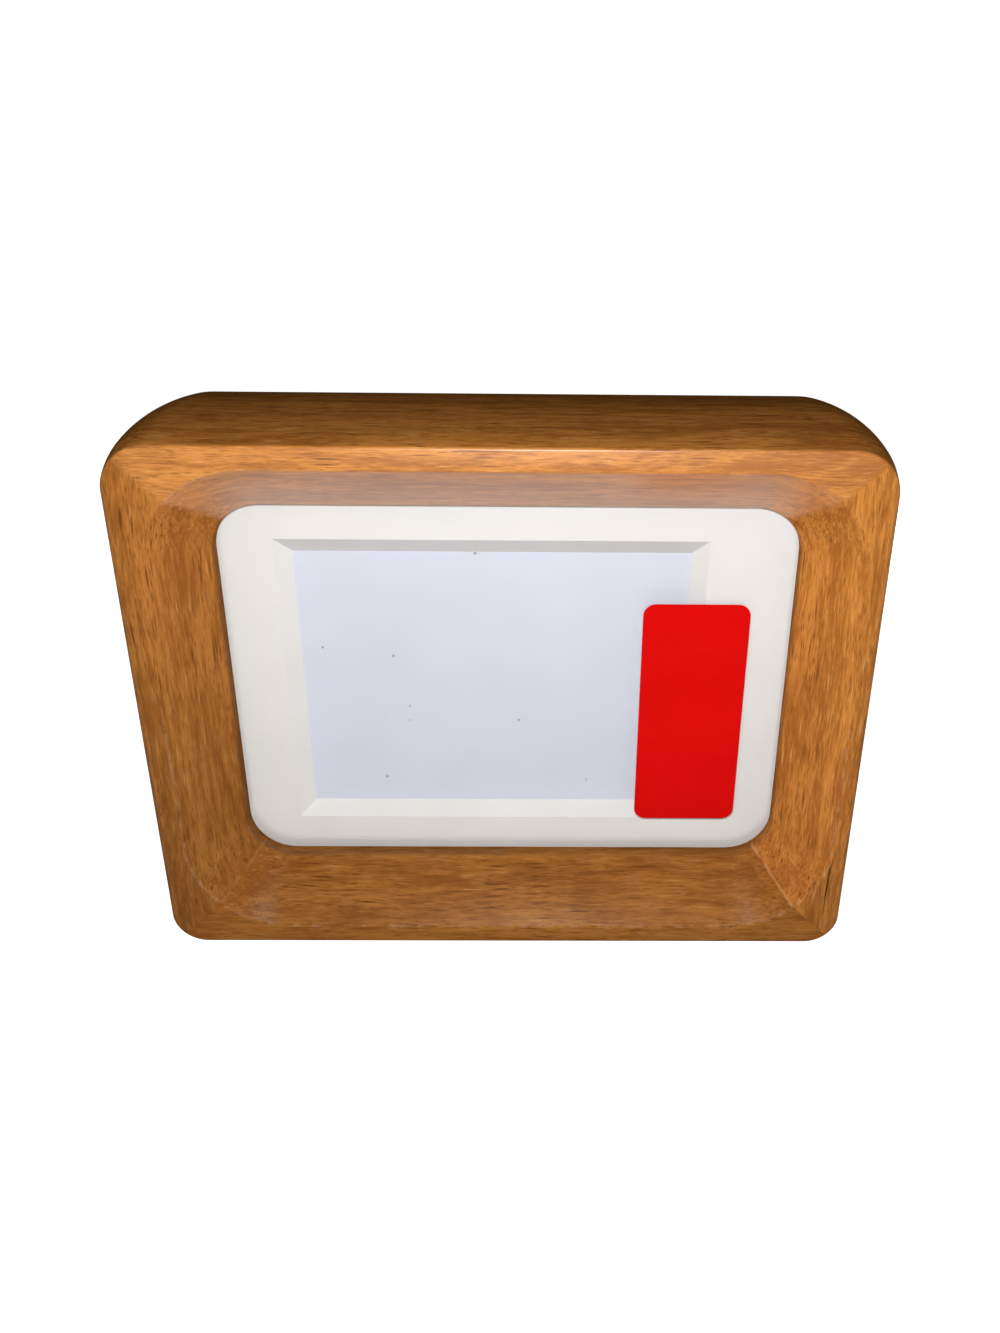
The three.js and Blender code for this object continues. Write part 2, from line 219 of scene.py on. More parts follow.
# Painted shade along the sight edge, stronger on the left, and along the outer edges
SIGHT_SHADE_AMOUNTS = (0.45, 0.15)
EDGE_SHADE_AMOUNT = 0.35
GLUE_COLOR = (0.66, 0.36, 0.15, 1)
GLUE_AMOUNTS = (0.12, 0.5)
TOP_RIM_POLISH = 0.35
LOW_POLISH = 0.035
UPRIGHT_POLISH = 0.05
WOOD_ROUGHNESS = (0.55, 0.75)

# Where the finish, painted shade and painted sheen of the rails change, in millimetres from where each begins
# to where it is full
MIDDLE_FADE = (-5, 5)
RIM_FADE = (-0.4, 0.2)
DISH_FADE = (0.2, -0.4)
OUTSIDE_FADE = (0.5, 1.5)
BEHIND_FRONT_FADE = (0.4, 1.2)
NEAR_FRONT_FADE = (2, 1)
STAIN_FADE = (10, 0)
PAINTED_SHEEN_FADE = (62, 46)
WORN_FADE = (0.5, 0.1)
SIGHT_SHADE_FADE = (0.6, 0.15)
EDGE_SHADE_FADE = (0.9, 0.1)
GLUE_FADE = (0.7, 0.2)

# How far the grain is torn and blended across the lower and the upper mitres, in millimetres
TORN_WIDTHS = (1, 6)
JOINT_WIDTHS = (0.2, 1.5)

# Depth of the fine relief on each finish, in millimetres
GRAIN_RELIEF = 0.04
METAL_RELIEF = 0.01
LABEL_RELIEF = 0.006
BOARD_RELIEF = 0.12

# Fibre board and label: the colours of their clouds, and the pitch of the board's wire print in millimetres
BOARD_DARK = (0.14, 0.064, 0.025, 1)
BOARD_LIGHT = (0.27, 0.137, 0.06, 1)
SCREEN_PITCH = 1.3
SCREEN_AMOUNT = 0.4
LABEL_DARK = (0.74, 0.002, 0.001, 1)
LABEL_LIGHT = (0.8, 0.003, 0.002, 1)

# Papers and cards, with the depth of their tooth in millimetres
PAPER_CLOUD = (0.92, 0.92, 0.9, 1)
PAPERS = {
    "mat_surface": {
        "color": (0.87, 0.845, 0.835, 1), "speck": (0.6, 0.55, 0.45, 1), "speck_amount": 0.3,
        "tooth": 0.004, "roughness": 0.85,
    },
    "mat_core": {
        "color": (0.845, 0.832, 0.815, 1), "speck": (0.7, 0.7, 0.66, 1), "speck_amount": 0.2,
        "tooth": 0.008, "roughness": 0.9,
    },
    # The core of the top bevel, darker as painted shade
    "painted_shade_core": {
        "color": (0.7, 0.69, 0.69, 1), "speck": (0.6, 0.6, 0.57, 1), "speck_amount": 0.2,
        "tooth": 0.008, "roughness": 0.9,
    },
    "print_card": {
        "color": (0.7, 0.735, 0.87, 1), "speck": (0.2, 0.2, 0.24, 1), "speck_amount": 0.9,
        "tooth": 0.004, "roughness": 0.8,
    },
    "kraft_card": {
        "color": (0.46, 0.27, 0.11, 1), "speck": (0.2, 0.11, 0.04, 1), "speck_amount": 1.0,
        "tooth": 0.06, "roughness": 0.9,
    },
}

# Metals, as a colour and the tint of its clouds
METALS = {
    "plain_steel": {"color": (0.5, 0.5, 0.51, 1), "tint": (0.4, 0.4, 0.42, 1)},
    "zinc_plating": {"color": (0.37, 0.36, 0.325, 1), "tint": (0.28, 0.28, 0.265, 1)},
}

# Clear sheets, with the waves in their surface per metre and the depth of those in millimetres
CLEARS = {
    "clear_film": {"color": (0.99, 0.99, 0.99, 1), "index": 1.15, "waves": 60.0, "depth": 0.004},
    "clear_acrylic": {"color": (0.99, 0.99, 0.985, 1), "index": 1.49, "waves": 25.0, "depth": 0.003},
}

# Corners and rails, with the side of the middle that each lies on in X and Z
CORNERS = {"top_left": (-1, 1), "top_right": (1, 1), "bottom_left": (-1, -1), "bottom_right": (1, -1)}
SIDES = {"top_rail": (0, 1), "bottom_rail": (0, -1), "left_rail": (-1, 0), "right_rail": (1, 0)}


# Node helpers
class Nodes:
    """Adds nodes to the tree of one material, group or world, and joins them by their sockets."""

    def __init__(self, tree):
        self.tree = tree

    def feed(self, socket, value):
        if isinstance(value, bpy.types.NodeSocket):
            self.tree.links.new(value, socket)
        else:
            socket.default_value = value

    def add(self, kind, inputs=None, **settings):
        node = self.tree.nodes.new("ShaderNode" + kind)
        for name, value in settings.items():
            setattr(node, name, value)
        for name, value in (inputs or {}).items():
            self.feed(node.inputs[name], value)
        return node

    def math(self, operation, first, second=0.0):
        return self.add("Math", {0: first, 1: second}, operation=operation).outputs[0]

    def times(self, *values):
        product = values[0]
        for value in values[1:]:
            product = self.math("MULTIPLY", product, value)
        return product

    def weighed(self, *pairs):
        """The sum of values that each have a share."""
        total = self.times(*pairs[0])
        for value, share in pairs[1:]:
            total = self.math("ADD", total, self.times(value, share))
        return total

    def rest(self, value):
        """What a mask leaves out."""
        return self.math("SUBTRACT", 1.0, value)

    def mix(self, factor, first, second, blend="MIX"):
        node = self.add("Mix", data_type="RGBA", blend_type=blend)
        for place, value in ((0, factor), (6, first), (7, second)):
            self.feed(node.inputs[place], value)
        return node.outputs[2]

    def blend(self, factor, first, second):
        return self.add("Mix", {0: factor, 2: first, 3: second}).outputs[0]

    def noise(self, vector, scale, detail=2.0, roughness=0.5):
        inputs = {"Vector": vector, "Scale": scale, "Detail": detail, "Roughness": roughness}
        return self.add("TexNoise", inputs).outputs["Fac"]

    def cells(self, vector, scale):
        """Scattered points, as the distance to the nearest and a chance value of its own for each."""
        cell = self.add("TexVoronoi", {"Vector": vector, "Scale": scale}).outputs
        return cell["Distance"], self.add("SeparateColor", {"Color": cell["Color"]}).outputs[0]

    def stretch(self, vector, scale, location=(0, 0, 0), rotation=(0, 0, 0)):
        inputs = {"Vector": vector, "Scale": scale, "Location": location, "Rotation": rotation}
        return self.add("Mapping", inputs).outputs[0]

    def fade(self, value, low, high, start=0.0, end=1.0):
        inputs = {"Value": value, "From Min": low, "From Max": high, "To Min": start, "To Max": end}
        return self.add("MapRange", inputs, interpolation_type="SMOOTHSTEP").outputs[0]

    def fade_mm(self, value, limits, start=0.0, end=1.0):
        """A fade between two limits in millimetres."""
        return self.fade(value, limits[0] * MM, limits[1] * MM, start, end)

    def choose(self, mask, pair):
        """A value that goes from the first of a pair to the second as a mask goes from 0 to 1."""
        return self.fade(mask, 0, 1, *pair)

    def object_coordinates(self):
        return self.add("TexCoord").outputs["Object"]

    def bump(self, height, depth):
        """Normals of a fine relief whose depth is given in millimetres."""
        return self.add("Bump", {"Height": height, "Distance": depth * MM}).outputs[0]


def new_group(name, inputs, outputs):
    """A shader node group: its tree, a node builder for it, the sockets it is given and those it puts out."""
    tree = bpy.data.node_groups.new(name, "ShaderNodeTree")
    for label, kind in inputs.items():
        tree.interface.new_socket(label, in_out="INPUT", socket_type="NodeSocket" + kind)
    for label, kind in outputs.items():
        tree.interface.new_socket(label, in_out="OUTPUT", socket_type="NodeSocket" + kind)
    given = tree.nodes.new("NodeGroupInput").outputs
    return tree, Nodes(tree), given, tree.nodes.new("NodeGroupOutput").inputs


def place_group(nodes, tree, inputs):
    return nodes.add("Group", inputs, node_tree=tree).outputs


def new_material(name, **plain):
    """A material with one Principled shader, its plain values set, and its node builder."""
    material = bpy.data.materials.new(name)
    material.use_nodes = True
    nodes = Nodes(material.node_tree)
    shader = material.node_tree.nodes["Principled BSDF"]
    for label, value in plain.items():
        shader.inputs[label.replace("_", " ")].default_value = value
    return material, nodes, shader.inputs


# Finishes
def hardwood_group():
    """Open-pored hardwood whose grain runs along the X of the vector that it is given."""
    tree, nodes, given, out = new_group(
        "hardwood", {"Vector": "Vector"}, {"Color": "Color", "Wear": "Float", "Height": "Float"}
    )

    def along_grain(vector, scale):
        along, across = scale
        return nodes.stretch(vector, (along, across, across))

    drift = nodes.add("TexNoise", {"Vector": along_grain(given["Vector"], SWAY_SCALE), "Scale": 1.0})
    shift = nodes.add("VectorMath", {0: drift.outputs["Color"], 1: (0.5, 0.5, 0.5)}, operation="SUBTRACT")
    sideways = (0, SWAY_REACH, SWAY_REACH)
    sway = nodes.add("VectorMath", {0: shift.outputs[0], 1: sideways}, operation="MULTIPLY")
    grain = nodes.add("VectorMath", {0: given["Vector"], 1: sway.outputs[0]}).outputs[0]

    bands = nodes.noise(along_grain(grain, BAND_SCALE), 1.0, detail=2.0)
    streaks = nodes.noise(along_grain(grain, STREAK_SCALE), 1.0, detail=5.0, roughness=0.75)
    fibres = nodes.noise(along_grain(grain, FIBRE_SCALE), 1.0, detail=3.0, roughness=0.7)
    patches = nodes.noise(along_grain(grain, PATCH_SCALE), 1.0, detail=2.0)

    def dashes(scale, reach, missing):
        """Short lines along the grain, of which a share is missing."""
        distance, chance = nodes.cells(along_grain(grain, scale), 1.0)
        dash = nodes.fade(distance, reach, reach * 0.2)
        return nodes.times(dash, nodes.fade(chance, missing, missing + 0.2))

    long_pores = dashes(LONG_PORE_SCALE, reach=0.4, missing=0.35)
    short_pores = dashes(SHORT_PORE_SCALE, reach=0.45, missing=0.3)
    crowding = nodes.fade(patches, 0.38, 0.62, 0.2, 0.8)
    pores = nodes.math("MAXIMUM", long_pores, nodes.times(short_pores, 0.75))
    pores = nodes.times(pores, crowding)
    bright = nodes.fade(streaks, 0.42, 0.6, 0, 0.8)
    flecks = nodes.times(dashes(FLECK_SCALE, reach=0.4, missing=0.4), bright)

    tone = nodes.weighed((bands, 0.25), (streaks, 0.55), (fibres, 0.4), (patches, 0.2))
    wood = nodes.mix(nodes.fade(tone, 0.58, 0.82), WOOD_DARK, WOOD_LIGHT)
    nodes.feed(out["Color"], nodes.mix(pores, nodes.mix(flecks, wood, WOOD_FLECK), WOOD_PORE))
    nodes.feed(out["Wear"], nodes.fade(nodes.math("ADD", fibres, pores), 0.25, 1.2))
    nodes.feed(out["Height"], nodes.weighed((fibres, 0.25), (streaks, 0.25), (pores, -1.0)))
    return tree


def paper_group():
    """Paper and board: faint clouds in their tone, scattered specks and a fine tooth."""
    tree, nodes, given, out = new_group(
        "paper_tooth",
        {"Vector": "Vector", "Color": "Color", "Speck": "Color", "Speck Amount": "Float"},
        {"Color": "Color", "Height": "Float"},
    )
    clouds = nodes.noise(given["Vector"], 60.0, detail=3.0)
    clouded = nodes.fade(clouds, 0.3, 0.7, 0.0, 0.5)
    shaded = nodes.mix(clouded, given["Color"], PAPER_CLOUD, "MULTIPLY")
    distance, chance = nodes.cells(given["Vector"], 330.0)
    dot = nodes.fade(distance, 0.15, 0.05)
    specks = nodes.times(dot, nodes.fade(chance, 0.82, 0.9), given["Speck Amount"])
    nodes.feed(out["Color"], nodes.mix(specks, shaded, given["Speck"]))
    nodes.feed(out["Height"], nodes.noise(given["Vector"], 4200.0, detail=2.0, roughness=0.6))
    return tree


def metal_group():
    """Drawn or plated metal: clouds in its colour and fine upright lines."""
    tree, nodes, given, out = new_group(
        "metal_skin",
        {"Vector": "Vector", "Color": "Color", "Tint": "Color"},
        {"Color": "Color", "Roughness": "Float", "Height": "Float"},
    )
    clouds = nodes.noise(given["Vector"], 420.0, detail=3.0, roughness=0.6)
    lines = nodes.noise(nodes.stretch(given["Vector"], (6000, 6000, 350)), 1.0, detail=2.0)
    nodes.feed(out["Color"], nodes.mix(nodes.fade(clouds, 0.35, 0.7), given["Color"], given["Tint"]))
    wear = nodes.weighed((clouds, 0.6), (lines, 0.4))
    nodes.feed(out["Roughness"], nodes.fade(wear, 0.3, 0.7, 0.26, 0.5))
    nodes.feed(out["Height"], lines)
    return tree


def sight_distance(nodes, across, upward):
    """How far a place lies outside the sight edge, as seen from the front."""
    aside = nodes.math("ABSOLUTE", nodes.math("SUBTRACT", across, OPENING_X * MM))
    past_side = nodes.math("SUBTRACT", aside, (SIGHT_WIDTH / 2 - SIGHT_CORNER_RADIUS) * MM)
    past_level = nodes.math("SUBTRACT", upward, (SIGHT_HEIGHT / 2 - SIGHT_CORNER_RADIUS) * MM)
    past_side = nodes.math("MAXIMUM", past_side, 0.0)
    past_level = nodes.math("MAXIMUM", past_level, 0.0)
    reach = nodes.add("CombineXYZ", {0: past_side, 1: past_level}).outputs[0]
    length = nodes.add("VectorMath", {0: reach}, operation="LENGTH").outputs["Value"]
    return nodes.math("SUBTRACT", length, SIGHT_CORNER_RADIUS * MM)


def wood_material(hardwood):
    """Satin hardwood of the four rails. The grain runs along each rail, and is torn where the upper mitres
    were sanded across. The lower mitres show a broken glue line, and the lower rim a worn arris. Its colour
    also holds painted shade and a painted sheen."""
    material, nodes, inputs = new_material(
        "frame_hardwood", Specular_IOR_Level=0.0, Coat_IOR=1.9, Coat_Roughness=0.32
    )
    place = nodes.object_coordinates()
    axes = nodes.add("SeparateXYZ", {0: place}).outputs
    height = nodes.math("SUBTRACT", axes[2], CENTRE_Z * MM)
    depth = nodes.math("SUBTRACT", axes[1], RAIL_FRONT * MM)
    across = nodes.math("ABSOLUTE", axes[0])
    upward = nodes.math("ABSOLUTE", height)
    top = nodes.fade_mm(height, MIDDLE_FADE)
    low = nodes.rest(top)
    right = nodes.fade_mm(axes[0], MIDDLE_FADE)
    from_sight = sight_distance(nodes, axes[0], upward)
    past_rim = nodes.math("SUBTRACT", from_sight, SLOPE_WIDTH * MM)
    behind_front = nodes.fade_mm(depth, BEHIND_FRONT_FADE)
    behind_lip = nodes.fade_mm(depth, (DISH_DEPTH, RABBET_FRONT))
    before_lip = nodes.rest(behind_lip)
    dish = nodes.times(nodes.fade_mm(past_rim, DISH_FADE), before_lip)
    rim = nodes.times(nodes.fade_mm(past_rim, RIM_FADE), nodes.rest(behind_front))
    front = nodes.math("MAXIMUM", dish, rim)
    outside = nodes.math("MAXIMUM", nodes.fade_mm(past_rim, OUTSIDE_FADE), behind_lip)
    outer = nodes.times(behind_front, outside)

    mitre = (FRAME_WIDTH - FRAME_HEIGHT) / 2 * MM
    offset = nodes.math("SUBTRACT", nodes.math("SUBTRACT", across, upward), mitre)
    ragged = nodes.math("SUBTRACT", nodes.noise(place, 800.0, detail=4.0, roughness=0.75), 0.5)
    torn = nodes.times(ragged, nodes.choose(top, [width * MM for width in TORN_WIDTHS]))
    joint = nodes.math("ADD", offset, torn)
    soft = nodes.choose(top, [width * MM for width in JOINT_WIDTHS])
    upright = nodes.fade(joint, nodes.times(soft, -1.0), soft)
    distance = nodes.math("ABSOLUTE", joint)

    level_grain = place_group(nodes, hardwood, {"Vector": place})
    turned = nodes.stretch(place, (1, 1, 1), UPRIGHT_TIMBER, (0, radians(90), 0))
    upright_grain = place_group(nodes, hardwood, {"Vector": turned})
    color = nodes.mix(upright, level_grain["Color"], upright_grain["Color"])
    wear = nodes.blend(upright, level_grain["Wear"], upright_grain["Wear"])
    relief = nodes.blend(upright, level_grain["Height"], upright_grain["Height"])

    # Painted shade: darker towards the bottom, on the left upright and on the outer faces
    foot, head = -FRAME_HEIGHT / 2, FRAME_HEIGHT / 2
    left_painted_shade = nodes.fade_mm(height, (foot, head), *LEFT_PAINTED_SHADES)
    right_painted_shade = nodes.fade_mm(height, (foot, -FRAME_HEIGHT / 5), *RIGHT_PAINTED_SHADES)
    upright_painted_shade = nodes.blend(right, left_painted_shade, right_painted_shade)
    tone = nodes.blend(upright, nodes.choose(top, LEVEL_PAINTED_SHADES), upright_painted_shade)
    tone = nodes.times(tone, nodes.choose(outer, (1.0, OUTER_PAINTED_SHADE)))
    color = nodes.mix(1.0, color, tone, "MULTIPLY")

    soaked = nodes.fade(nodes.noise(place, 190.0, detail=4.0, roughness=0.6), 0.4, 0.65, 0, STAIN_AMOUNT)
    soaked = nodes.times(soaked, nodes.choose(top, STAIN_SHARES))
    color = nodes.mix(nodes.times(nodes.fade_mm(distance, STAIN_FADE), soaked, front), color, STAIN_COLOR)
    # Painted sheen: a pale haze standing in for a reflection, in the middle of the top rail's dish
    inner_top = nodes.times(dish, top, nodes.rest(upright))
    painted_sheen = nodes.times(inner_top, nodes.fade_mm(across, PAINTED_SHEEN_FADE, 0, PAINTED_SHEEN_AMOUNT))
    color = nodes.mix(painted_sheen, color, PAINTED_SHEEN_COLOR)
    at_arris = nodes.fade_mm(nodes.math("ABSOLUTE", past_rim), WORN_FADE)
    near_front = nodes.fade_mm(depth, NEAR_FRONT_FADE)
    scuffs = nodes.fade(nodes.noise(place, 420.0, detail=4.0, roughness=0.7), 0.42, 0.62)
    color = nodes.mix(nodes.times(at_arris, near_front, scuffs, low, WORN_AMOUNT), color, WORN_COLOR)
    # Painted shade: a thin dark line along the sight edge, stronger on the left
    sight_shade = nodes.times(nodes.fade_mm(from_sight, SIGHT_SHADE_FADE), before_lip)
    color = nodes.mix(nodes.times(sight_shade, nodes.choose(right, SIGHT_SHADE_AMOUNTS)), color, SHADE_COLOR)
    # Painted shade along the outer edges of the sides and the underside
    from_side = nodes.math("SUBTRACT", FRAME_WIDTH / 2 * MM, across)
    from_floor = nodes.math("ADD", height, FRAME_HEIGHT / 2 * MM)
    from_edge = nodes.math("MINIMUM", from_side, from_floor)
    color = nodes.mix(nodes.fade_mm(from_edge, EDGE_SHADE_FADE, 0, EDGE_SHADE_AMOUNT), color, SHADE_COLOR)
    breaks = nodes.fade(nodes.noise(place, 220.0, detail=3.0), 0.35, 0.55)
    at_mitre = nodes.times(nodes.fade_mm(distance, GLUE_FADE), breaks, dish, low)
    glue = nodes.times(at_mitre, nodes.choose(right, GLUE_AMOUNTS))
    nodes.feed(inputs["Base Color"], nodes.mix(glue, color, GLUE_COLOR))

    top_polish = nodes.math("MAXIMUM", dish, nodes.times(rim, TOP_RIM_POLISH))
    level_polish = nodes.blend(top, nodes.times(front, LOW_POLISH), top_polish)
    polish = nodes.blend(upright, level_polish, nodes.times(front, UPRIGHT_POLISH))
    nodes.feed(inputs["Coat Weight"], polish)
    nodes.feed(inputs["Roughness"], nodes.choose(wear, WOOD_ROUGHNESS))
    nodes.feed(inputs["Normal"], nodes.bump(relief, GRAIN_RELIEF))
    return material


def paper_material(name, paper, color, speck, speck_amount, tooth, roughness):
    material, nodes, inputs = new_material(name, Roughness=roughness, Specular_IOR_Level=0.25)
    place = nodes.object_coordinates()
    values = {"Vector": place, "Color": color, "Speck": speck, "Speck Amount": speck_amount}
    surface = place_group(nodes, paper, values)
    nodes.feed(inputs["Base Color"], surface["Color"])
    nodes.feed(inputs["Normal"], nodes.bump(surface["Height"], tooth))
    return material


def metal_material(name, metal, color, tint):
    material, nodes, inputs = new_material(name, Metallic=1.0)
    skin = place_group(nodes, metal, {"Vector": nodes.object_coordinates(), "Color": color, "Tint": tint})
    nodes.feed(inputs["Base Color"], skin["Color"])
    nodes.feed(inputs["Roughness"], skin["Roughness"])
    nodes.feed(inputs["Normal"], nodes.bump(skin["Height"], METAL_RELIEF))
    return material


def clear_material(name, color, index, waves, depth):
    """Clear sheet that lets the lamps through to what lies behind it."""
    material, nodes, inputs = new_material(
        name, Base_Color=color, IOR=index, Roughness=0.02, Transmission_Weight=1.0
    )
    ripple = nodes.noise(nodes.object_coordinates(), waves, detail=1.0)
    nodes.feed(inputs["Normal"], nodes.bump(ripple, depth))
    path = nodes.add("LightPath").outputs
    passing = nodes.math("MAXIMUM", path["Is Shadow Ray"], path["Is Diffuse Ray"])
    through = nodes.add("BsdfTransparent", {"Color": color}).outputs[0]
    shader = material.node_tree.nodes["Principled BSDF"].outputs[0]
    mixed = nodes.add("MixShader", {0: passing, 1: shader, 2: through}).outputs[0]
    nodes.feed(material.node_tree.nodes["Material Output"].inputs["Surface"], mixed)
    return material


def tab_material():
    """Red label stock with a smooth varnish."""
    material, nodes, inputs = new_material("red_label", Specular_IOR_Level=0.05, Roughness=0.35)
    place = nodes.object_coordinates()
    clouds = nodes.fade(nodes.noise(place, 55.0, detail=3.0), 0.3, 0.7)
    nodes.feed(inputs["Base Color"], nodes.mix(clouds, LABEL_DARK, LABEL_LIGHT))
    nodes.feed(inputs["Normal"], nodes.bump(nodes.noise(place, 900.0, detail=2.0), LABEL_RELIEF))
    return material


def board_material():
    """Pressed fibre board: matted dark fibres and the print of a wire screen."""
    material, nodes, inputs = new_material("fibre_board", Specular_IOR_Level=0.2, Roughness=0.8)
    place = nodes.object_coordinates()
    upright = nodes.noise(nodes.stretch(place, (2400, 2400, 700)), 1.0, detail=4.0, roughness=0.65)
    level = nodes.noise(nodes.stretch(place, (700, 2400, 2400)), 1.0, detail=4.0, roughness=0.65)
    fibres = nodes.math("MAXIMUM", upright, level)
    clouds = nodes.noise(place, 90.0, detail=3.0)
    shade = nodes.weighed((fibres, 0.85), (clouds, 0.15))
    nodes.feed(inputs["Base Color"], nodes.mix(nodes.fade(shade, 0.42, 0.68), BOARD_DARK, BOARD_LIGHT))
    axes = nodes.add("SeparateXYZ", {0: place}).outputs
    turns = 2 * pi / (SCREEN_PITCH * MM)
    wires = [nodes.math("SINE", nodes.times(axis, turns)) for axis in (axes[0], axes[2])]
    screen = nodes.times(*wires, SCREEN_AMOUNT)
    nodes.feed(inputs["Normal"], nodes.bump(nodes.math("ADD", fibres, screen), BOARD_RELIEF))
    return material


# Mesh helpers
def object_of(name, bm):
    """An object in the scene made of a finished bmesh."""
    bmesh.ops.recalc_face_normals(bm, faces=bm.faces)
    mesh = bpy.data.meshes.new(name)
    bm.to_mesh(mesh)
    bm.free()
    made = bpy.data.objects.new(name, mesh)
    bpy.context.scene.collection.objects.link(made)
    return made


def show(name, bm, materials, body, nodes):
    """Makes a piece of a finished bmesh, in place of its CAD nodes."""
    piece = object_of(name, bm)
    for material in materials:
        piece.data.materials.append(material)
    soften(piece.data)
    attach(piece, body)
    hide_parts(*nodes)
    pieces.append(piece)
    return piece


def soften(mesh):
    """Shades a mesh smooth, but for its sharp edges."""
    mesh.shade_smooth()
    mesh.set_sharp_from_angle(angle=SHARP_ANGLE)


def outline_loop(bm, width, height, radius, x, y, z, low_radius=None):
    """An upright rectangular face with rounded corners, the only face there is at that time. The two lower
    corners can have a radius of their own."""
    place = Matrix.Translation((x, y, z)) @ Matrix.Rotation(pi / 2, 4, "X")
    grid = bmesh.ops.create_grid(
        bm, x_segments=1, y_segments=1, size=0.5, matrix=place @ Matrix.Diagonal((width, height, 1, 1))
    )
    face = grid["verts"][0].link_faces[0]
    if radius > 0:
        upper = [corner for corner in grid["verts"] if corner.co.z > z]
        lower = [corner for corner in grid["verts"] if corner.co.z < z]
        for corners, offset in ((upper, radius), (lower, low_radius or radius)):
            bmesh.ops.bevel(
                bm, geom=corners, offset=offset, offset_type="OFFSET", segments=CORNER_SEGMENTS,
                profile=0.5, affect="VERTICES", material=-1,
            )
        bmesh.ops.remove_doubles(bm, verts=next(iter(bm.faces)).verts[:], dist=SMALLEST)
        face = next(iter(bm.faces))
    return face


def thicken(bm, face, reach):
    """Draws a flat face out along Y to a closed solid, and gives the face that moved."""
    drawn = bmesh.ops.extrude_face_region(bm, geom=[face])["geom"]
    corners = [item for item in drawn if isinstance(item, bmesh.types.BMVert)]
    bmesh.ops.translate(bm, verts=corners, vec=(0, reach, 0))
    return next(item for item in drawn if isinstance(item, bmesh.types.BMFace))


def ring_of(outlines):
    """A closed ring skinned over outlines that run once round its section. Each pair is drawn apart while it
    is joined, because outlines in one plane could be joined crosswise."""
    bm = bmesh.new()
    loops = []
    for outline in outlines:
        face = outline_loop(bm, *outline)
        loops.append(list(face.edges))
        bmesh.ops.delete(bm, geom=[face], context="FACES_ONLY")
    strips = []
    for here, after in zip(loops, loops[1:] + loops[:1]):
        corners = list({corner for edge in after for corner in edge.verts})
        bmesh.ops.translate(bm, verts=corners, vec=(0, BRIDGE_REACH, 0))
        strips.append(bmesh.ops.bridge_loops(bm, edges=here + after)["faces"])
        bmesh.ops.translate(bm, verts=corners, vec=(0, -BRIDGE_REACH, 0))
    return bm, strips


def block(bm, low, high):
    """A box between two corners."""
    size = high - low
    place = Matrix.Translation((low + high) / 2) @ Matrix.Diagonal((*size, 1))
    bmesh.ops.create_cube(bm, size=1, matrix=place)


def ease_edges(bm, edges, width):
    bmesh.ops.bevel(
        bm, geom=edges, offset=width, offset_type="OFFSET", segments=2,
        profile=0.5, affect="EDGES", material=-1,
    )


def rod(x, z, radius, front, back, margin=0, segments=ROUND_STEPS):
    """A round rod along Y between two depths, longer by a margin that its two ends share."""
    bm = bmesh.new()
    place = Matrix.Translation((x, (front + back) / 2, z)) @ Matrix.Rotation(pi / 2, 4, "X")
    bmesh.ops.create_cone(
        bm, cap_ends=True, segments=segments, radius1=radius, radius2=radius,
        depth=back - front + margin, matrix=place,
    )
    return bm


def cut_out(piece, bm):
    """Cuts the solid in a finished bmesh out of a piece."""
    cutter = object_of("cutter", bm)
    modifier = piece.modifiers.new("cut", "BOOLEAN")
    modifier.object = cutter
    modifier.solver = "EXACT"
    graph = bpy.context.evaluated_depsgraph_get()
    mesh = bpy.data.meshes.new_from_object(piece.evaluated_get(graph))
    piece.modifiers.clear()
    piece.data = mesh
    bpy.data.objects.remove(cutter)
    soften(mesh)


# Rails
def block_outline(depth, inset):
    """The glued block at one depth, less an inset: swollen top and sides over a flat underside. The top rolls
    down a little to the front, and the lower corners are tighter."""
    share = depth / FRAME_DEPTH
    swell = 4 * SIDE_SWELL * share * (1 - share)
    roll = TOP_ROLL * max(0, 1 - depth / TOP_ROLL_DEPTH) ** 2
    growth = swell - inset
    radius = FRONT_CORNER_RADIUS + (BACK_CORNER_RADIUS - FRONT_CORNER_RADIUS) * share + growth
    width = FRAME_WIDTH + 2 * growth
    height = FRAME_HEIGHT + growth - inset - roll
    low_radius = radius - FRONT_CORNER_RADIUS + LOW_CORNER_RADIUS
    return width, height, radius, 0, RAIL_FRONT + depth, CENTRE_Z + (swell - roll) / 2, low_radius


def sight_outline(outset, depth):
    """The opening at one depth, grown by an outset from the sight edge."""
    width = SIGHT_WIDTH + 2 * outset
    height = SIGHT_HEIGHT + 2 * outset
    return width, height, SIGHT_CORNER_RADIUS + outset, OPENING_X, RAIL_FRONT + depth, CENTRE_Z


def rabbet_outline(depth):
    place = (OPENING_X, RAIL_FRONT + depth, CENTRE_Z)
    return RABBET_OPENING_WIDTH, RABBET_OPENING_HEIGHT, RABBET_CORNER_RADIUS, *place


def eased(before, corner, after, radius):
    """Points on a small round that takes the place of a corner of a section."""
    before, corner, after = Vector(before), Vector(corner), Vector(after)
    start = corner + (before - corner).normalized() * radius
    end = corner + (after - corner).normalized() * radius
    for step in range(EASE_STEPS + 1):
        share = step / EASE_STEPS
        yield start.lerp(corner, share).lerp(corner.lerp(end, share), share)


